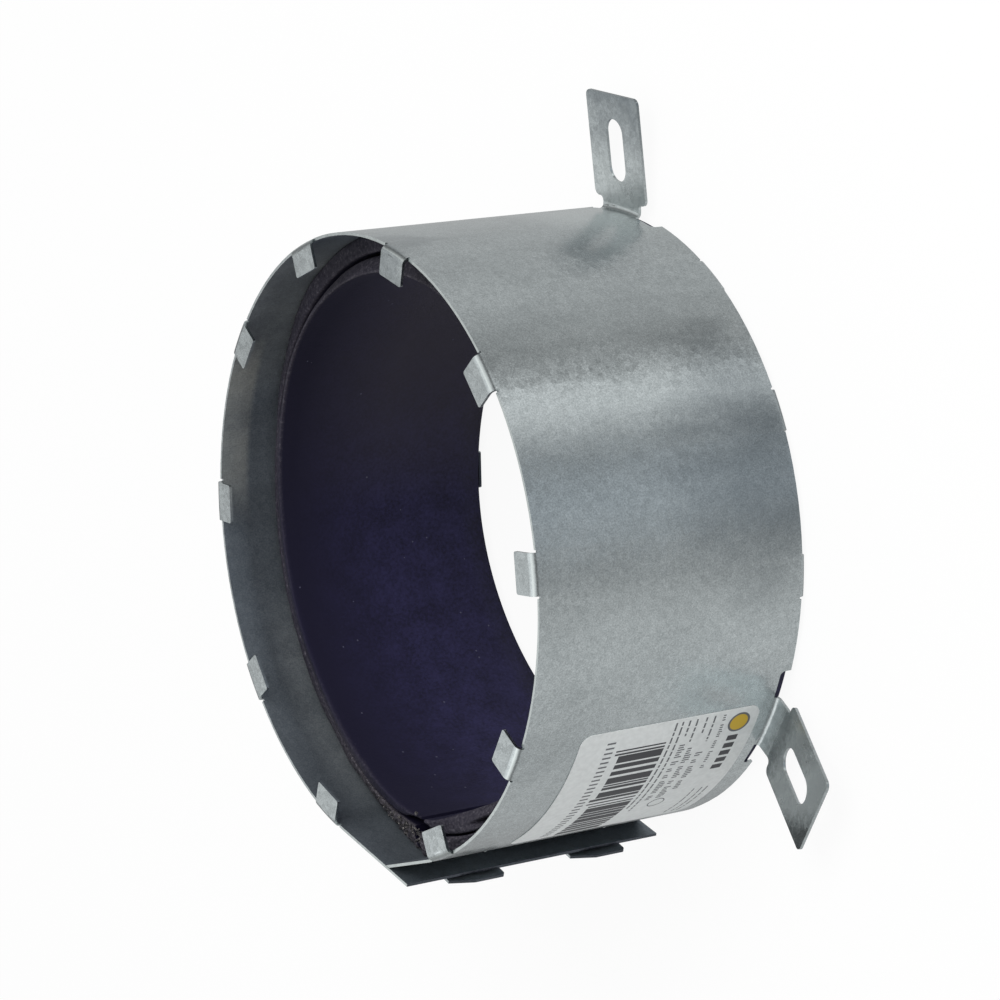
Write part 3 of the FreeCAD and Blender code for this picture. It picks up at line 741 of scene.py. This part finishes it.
# %% Intumescent material
compound, tree, shader = new_material("intumescent sheet, pressed graphite")
where = add_node(tree, "ShaderNodeTexCoord").outputs["Object"]
cut = add_node(tree, "ShaderNodeAttribute", {"attribute_name": "cut"}).outputs["Fac"]
HAZE = 6 * MM
GRIT = 0.7 * MM
SPECK_SPACING = 4.5 * MM
haze = add_node(tree, "ShaderNodeTexNoise", Vector=where, Scale=1 / HAZE, Detail=4.0, Roughness=0.6)
grit = add_node(tree, "ShaderNodeTexNoise", Vector=where, Scale=1 / GRIT, Detail=4.0, Roughness=0.7)
speck = add_node(tree, "ShaderNodeTexVoronoi", {"feature": "F1"}, Vector=where, Scale=1 / SPECK_SPACING)
dot = add_node(tree, "ShaderNodeMath", {"operation": "LESS_THAN"}, i0=speck.outputs["Distance"], i1=0.05)
blotch = add_node(
    tree, "ShaderNodeMath", {"operation": "MULTIPLY_ADD"},
    i0=haze.outputs["Fac"], i1=0.6, i2=grit.outputs["Fac"],
)
rolled_stops = [(0.60, linear("#19172c")), (1.0, linear("#2c2a4b"))]
rolled = add_node(tree, "ShaderNodeValToRGB", {"stops": rolled_stops}, i0=blotch.outputs[0])

# The bore is painted darkest near its front edge and paler deep inside, as painted shade and light. Deep
# inside, on the side of the first lug, a paler grey is painted in as painted light.
depth = add_node(tree, "ShaderNodeSeparateXYZ", Vector=where)
deep = add_node(tree, "ShaderNodeMapRange", i0=depth.outputs["Z"], i1=50 * MM, i2=27 * MM)
rolled = add_node(
    tree, "ShaderNodeMix", {"data_type": "RGBA"},
    i0=deep.outputs[0], i6=linear("#19172b"), i7=rolled.outputs[0],
)
LIT_ROW = math.radians(132)
round_ring = add_node(tree, "ShaderNodeVectorMath", {"operation": "MULTIPLY"}, i0=where, i1=(1, 1, 0))
round_ring = add_node(tree, "ShaderNodeVectorMath", {"operation": "NORMALIZE"}, i0=round_ring.outputs[0])
near_row = add_node(
    tree, "ShaderNodeVectorMath", {"operation": "DOT_PRODUCT"},
    i0=round_ring.outputs[0], i1=(math.cos(LIT_ROW), math.sin(LIT_ROW), 0),
)
# Painted light: the paler grey deep inside, on the side of the first lug.
painted_light_patch = add_node(tree, "ShaderNodeMapRange", i0=near_row.outputs["Value"], i1=0.55, i2=0.95)
painted_light_patch = add_node(tree, "ShaderNodeMath", {"operation": "MULTIPLY"}, i0=painted_light_patch.outputs[0], i1=deep.outputs[0])
painted_light_patch = add_node(tree, "ShaderNodeMath", {"operation": "MULTIPLY"}, i0=painted_light_patch.outputs[0], i1=0.8)
for share, shade in ((painted_light_patch, linear("#403d48")), (dot, linear("#4c4b5e"))):
    rolled = add_node(
        tree, "ShaderNodeMix", {"data_type": "RGBA"}, i0=share.outputs[0], i6=rolled.outputs[2], i7=shade,
    )
torn_stops = [(0.3, linear("#1f1d22")), (0.55, linear("#464348")), (0.78, linear("#87838a"))]
torn = add_node(tree, "ShaderNodeValToRGB", {"stops": torn_stops}, i0=grit.outputs["Fac"])
colour = add_node(
    tree, "ShaderNodeMix", {"data_type": "RGBA"}, i0=cut, i6=rolled.outputs[2], i7=torn.outputs[0],
)
tree.links.new(colour.outputs[2], shader.inputs["Base Color"])
shader.inputs["Roughness"].default_value = 0.72
shader.inputs["Specular IOR Level"].default_value = 0.25
relief = add_node(tree, "ShaderNodeBump", Strength=0.5, Distance=0.15 * MM, Height=grit.outputs["Fac"])
tree.links.new(relief.outputs[0], shader.inputs["Normal"])

# Broken grit shows the pale filler inside the compound.
CHIP = 0.8 * MM
filler, tree, shader = new_material("broken intumescent grit, pale mineral filler")
where = add_node(tree, "ShaderNodeTexCoord").outputs["Object"]
fleck = add_node(tree, "ShaderNodeTexNoise", Vector=where, Scale=1 / CHIP, Detail=2.0)
filler_stops = [(0.40, linear("#2b292b")), (0.60, linear("#565352")), (0.76, linear("#a29e9a"))]
broken = add_node(tree, "ShaderNodeValToRGB", {"stops": filler_stops}, i0=fleck.outputs["Fac"])
tree.links.new(broken.outputs[0], shader.inputs["Base Color"])
shader.inputs["Roughness"].default_value = 0.6
crumb_mesh.materials.append(filler)
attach(crumbs, "root")

for piece, node in ((outer_strip, "liner_outer_strip"), (inner_strip, "liner_inner_strip")):
    piece.data.materials.append(compound)
    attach(piece, "root")
    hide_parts(node)

# %% [markdown]
# The sticker is coated paper. Its print is generic: upright bars, rows of small strokes as type looks from
# too far away to read, fine rules and a plain round spot. Each mark is a thin pad of ink that lies on the
# paper and bends with it. A place on the label is a height up the pipe and an arc in mm from its middle.

# %% Label paper
FIBRE = 1.2 * MM
paper, tree, shader = new_material("coated label paper")
where = add_node(tree, "ShaderNodeTexCoord").outputs["Object"]
fibre = add_node(tree, "ShaderNodeTexNoise", Vector=where, Scale=1 / FIBRE, Detail=3.0)
paper_stops = [(0.3, linear("#d2d6d6")), (0.7, linear("#dee2e2"))]
paper_colour = add_node(tree, "ShaderNodeValToRGB", {"stops": paper_stops}, i0=fibre.outputs["Fac"])
tree.links.new(paper_colour.outputs[0], shader.inputs["Base Color"])
shader.inputs["Roughness"].default_value = 0.45
label = frame["nodes"]["label"]
label.data.materials.clear()
label.data.materials.append(paper)

# %% Ink pads
LABEL_MIDDLE = 318.4
LABEL_RADIUS = 65.17 * MM  # the paper's face
INK_THICKNESS = 0.012 * MM
MARK_STEPS = 8
CIRCLE_STEPS = 48
PINHOLE = 0.02  # in mm


def ink_ring(low, high, angle):
    """The four corners of a pad's section at each angle: low and high heights, just inside and just above
    the paper."""
    sunk, raised = LABEL_RADIUS - INK_THICKNESS / 2, LABEL_RADIUS + INK_THICKNESS
    ring = [(sunk, low), (raised, low), (raised, high), (sunk, high)]
    return np.stack([np.stack([r * np.cos(angle), r * np.sin(angle), z], 2) for r, z in ring], 2)


def ink_piece(name, points, quads, finish):
    """Put pads on the label as one piece with one ink."""
    mesh = bpy.data.meshes.new(name)
    mesh.from_pydata(points.reshape(-1, 3).tolist(), [], quads.tolist())
    mesh.materials.append(finish)
    piece = bpy.data.objects.new(name, mesh)
    bpy.context.scene.collection.objects.link(piece)
    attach(piece, "root")


def ink_pads(name, marks, finish):
    """Closed pads bent to the label. Each mark is (low height, high height, first arc, last arc) in mm:
    angle = middle + arc / radius."""
    marks = np.asarray(marks, float) * MM
    arc = marks[:, 2:3] + (marks[:, 3:4] - marks[:, 2:3]) * np.linspace(0, 1, MARK_STEPS)
    angle = np.radians(LABEL_MIDDLE) + arc / LABEL_RADIUS
    points = ink_ring(marks[:, 0:1] + 0 * arc, marks[:, 1:2] + 0 * arc, angle)
    index = np.arange(len(marks) * MARK_STEPS * 4).reshape(-1, MARK_STEPS, 4)
    here, onward = index[:, :-1], index[:, 1:]
    quads = np.stack([here, np.roll(here, -1, 2), np.roll(onward, -1, 2), onward], 3).reshape(-1, 4)
    caps = np.concatenate([index[:, 0, ::-1], index[:, -1, :]])
    ink_piece(name, points, np.concatenate([quads, caps]), finish)


def ink_circle(name, height, arc, small, large, finish):
    """A flat ring of ink on the label, round a place, between two radii in mm; with small = 0 it is a disc
    with a pinhole too fine to see. Its section is carried once round the circle."""
    turn = np.linspace(0, 2 * np.pi, CIRCLE_STEPS, endpoint=False)
    sunk, raised = LABEL_RADIUS - INK_THICKNESS / 2, LABEL_RADIUS + INK_THICKNESS * 1.5
    rows = []
    for reach, radius in ((small, sunk), (large, sunk), (large, raised), (small, raised)):
        reach = max(reach, PINHOLE)
        angle = np.radians(LABEL_MIDDLE) + (arc + reach * np.cos(turn)) * MM / LABEL_RADIUS
        upwards = (height + reach * np.sin(turn)) * MM
        rows.append(np.stack([radius * np.cos(angle), radius * np.sin(angle), upwards], 1))
    points = np.stack(rows, 1)
    index = np.arange(CIRCLE_STEPS * 4).reshape(CIRCLE_STEPS, 4)
    onward = np.roll(index, -1, 0)
    quads = np.stack([index, onward, np.roll(onward, -1, 1), np.roll(index, -1, 1)], 2).reshape(-1, 4)
    ink_piece(name, points, quads, finish)


# %% Marks on the label
draw = np.random.default_rng(7)
bars = [(27.8, 39.7, 14.9, 15.3), (27.8, 39.7, 13.9, 14.4)]
arc = 13.6
while arc > -19.5:
    width = draw.choice([0.5, 0.9, 1.3, 2.1])
    guard = 1.1 if -3.0 < arc < -0.5 else 0.0
    bars.append((27.8, 38.6 + guard, max(arc - width, -20.0), arc))
    arc -= width + draw.choice([0.35, 0.5, 0.8])


def type_row(height, size, first, last, stroke):
    """A row of strokes like type: words of two to seven upright strokes, some shorter than the row."""
    row = []
    spot = first
    while spot > last:
        for _ in range(draw.integers(2, 8)):
            tall = size * draw.choice([0.6, 0.75, 1.0])
            row.append((height + size - tall, height + size, spot - stroke, spot))
            spot -= stroke * 2.1
        spot -= stroke * 2.5
    return row


def rule_row(height, thick, first, last, longest):
    """A row of thin rules, like the finest print."""
    row = []
    spot = first
    while spot > last:
        length = draw.uniform(0.3, 1.0) * longest
        row.append((height, height + thick, max(spot - length, last), spot))
        spot -= length + 0.4
    return row


strokes = [(40.6, 42.6, spot - 0.45, spot) for spot in np.arange(18.0, -19.0, -1.35)]
for height, first, last in ((22.2, 13.5, -5.0), (19.7, 12.0, -4.0), (17.0, 10.0, -3.0)):
    strokes += type_row(height, 1.7, first, last, 0.34)
strokes += type_row(14.3, 1.0, 20.0, 3.4, 0.3)
rules = rule_row(26.5, 0.4, 20.2, -9.0, 2.2) + rule_row(25.0, 0.4, 20.2, -11.0, 2.4)
for height, last in ((23.3, 16.0), (21.5, 14.0), (19.2, 16.0), (17.2, 13.2)):
    rules += rule_row(height, 0.4, 20.2, last, 2.0)
for height in (8.6, 10.0, 12.0):
    rules += rule_row(height, 0.3, -5.0, -19.0, 3.2)
heading_blocks = [(9.7, 12.2, spot - 1.5, spot) for spot in (13.6, 11.3, 9.0, 6.7, 4.4)]

# Printing ink on coated paper: flat colour with a soft sheen.
inks = {}
for name, hex_colour in (("black", "#323338"), ("grey", "#5d6064"), ("ochre", "#c8a72a")):
    inks[name], tree, shader = new_material(f"{name} printing ink")
    shader.inputs["Base Color"].default_value = linear(hex_colour)
    shader.inputs["Roughness"].default_value = 0.5
ink_pads("label_bars", bars + heading_blocks, inks["black"])
ink_pads("label_type", strokes, inks["grey"])
ink_pads("label_rules", rules, inks["grey"])
ink_circle("label_spot", 10.8, 17.2, 0.0, 2.1, inks["ochre"])
ink_circle("label_spot_rim", 10.8, 17.2, 2.1, 2.6, inks["grey"])
ink_circle("label_ring", 19.8, -8.6, 1.7, 1.95, inks["grey"])

# %% [markdown]
# The last cell sets the scene's view transform to Standard.

# %% Finish
scene = bpy.context.scene
scene.view_settings.view_transform = "Standard"
